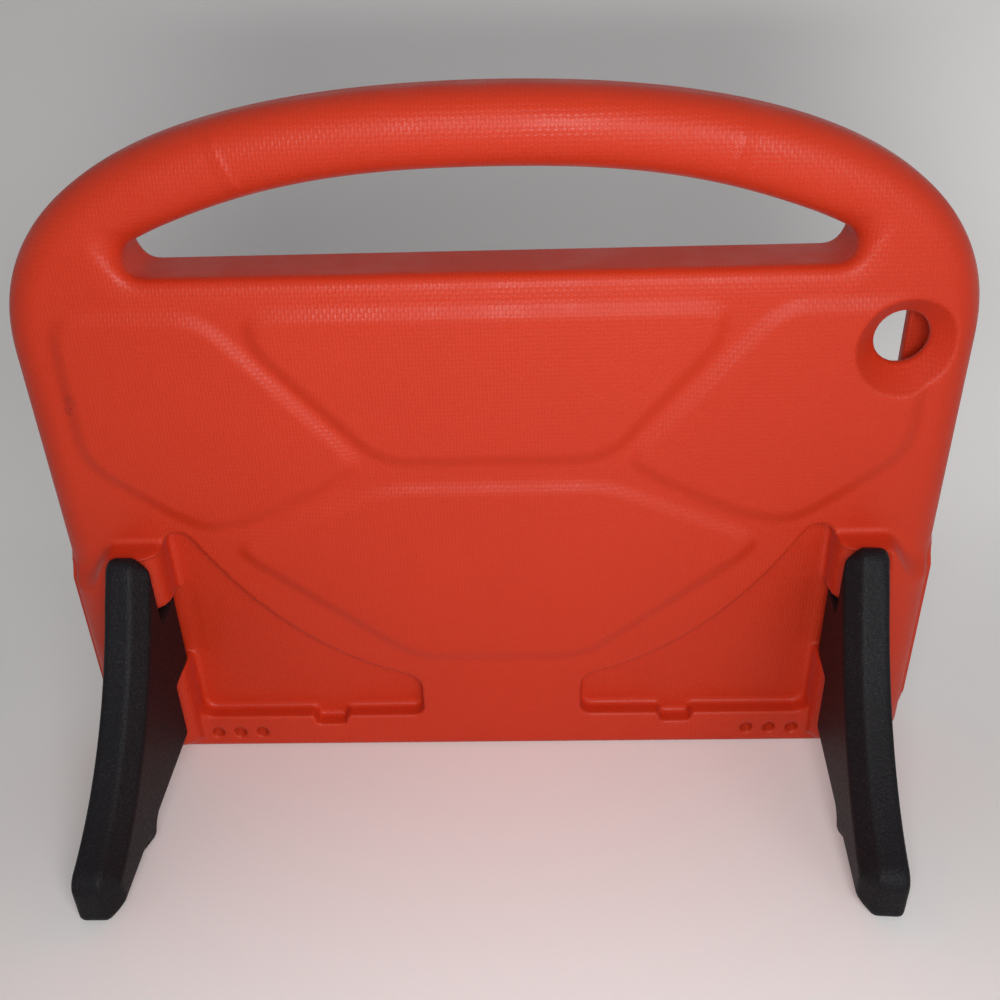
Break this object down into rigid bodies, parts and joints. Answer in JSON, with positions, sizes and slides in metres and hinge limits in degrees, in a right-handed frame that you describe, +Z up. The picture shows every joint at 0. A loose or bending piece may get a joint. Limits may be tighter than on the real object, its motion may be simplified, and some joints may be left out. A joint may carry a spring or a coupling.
{
  "type": "tablet case",
  "caption": "Foam tablet case for children, with an arched carrying handle, a framed tablet bay, a camera hole and swing-out legs that prop it up at a lean.",
  "frame": {"origin": "on the ground under the middle of the standing case: the centre of the bounding box's bottom", "axes": "+X to the right as seen from behind, +Y away from the legs towards the screen side, +Z up; the case leans back over its legs"},
  "size_m": [0.28, 0.1128, 0.2221],
  "materials": {
    "red_foam": "matt moulded foam with a fine cloth-like emboss",
    "black_foam": "matt moulded foam with a fine grain",
    "steel": "plain drawn steel"
  },
  "bodies": {
    "case": {"case_body": "red_foam", "left_hinge_pin": "steel", "right_hinge_pin": "steel"},
    "left_leg": {"left_leg": "black_foam"},
    "right_leg": {"right_leg": "black_foam"}
  },
  "joints": [
    {"name": "left_leg_hinge", "type": "hinge", "parent": "case", "child": "left_leg", "pos_m": [-0.1133, 0.02303, 0.0524], "axis": [0, -0.1759, 0.9844], "range_deg": [0, 90]},
    {"name": "right_leg_hinge", "type": "hinge", "parent": "case", "child": "right_leg", "pos_m": [0.1133, 0.02303, 0.0524], "axis": [0, 0.1759, -0.9844], "range_deg": [0, 86]}
  ]
}
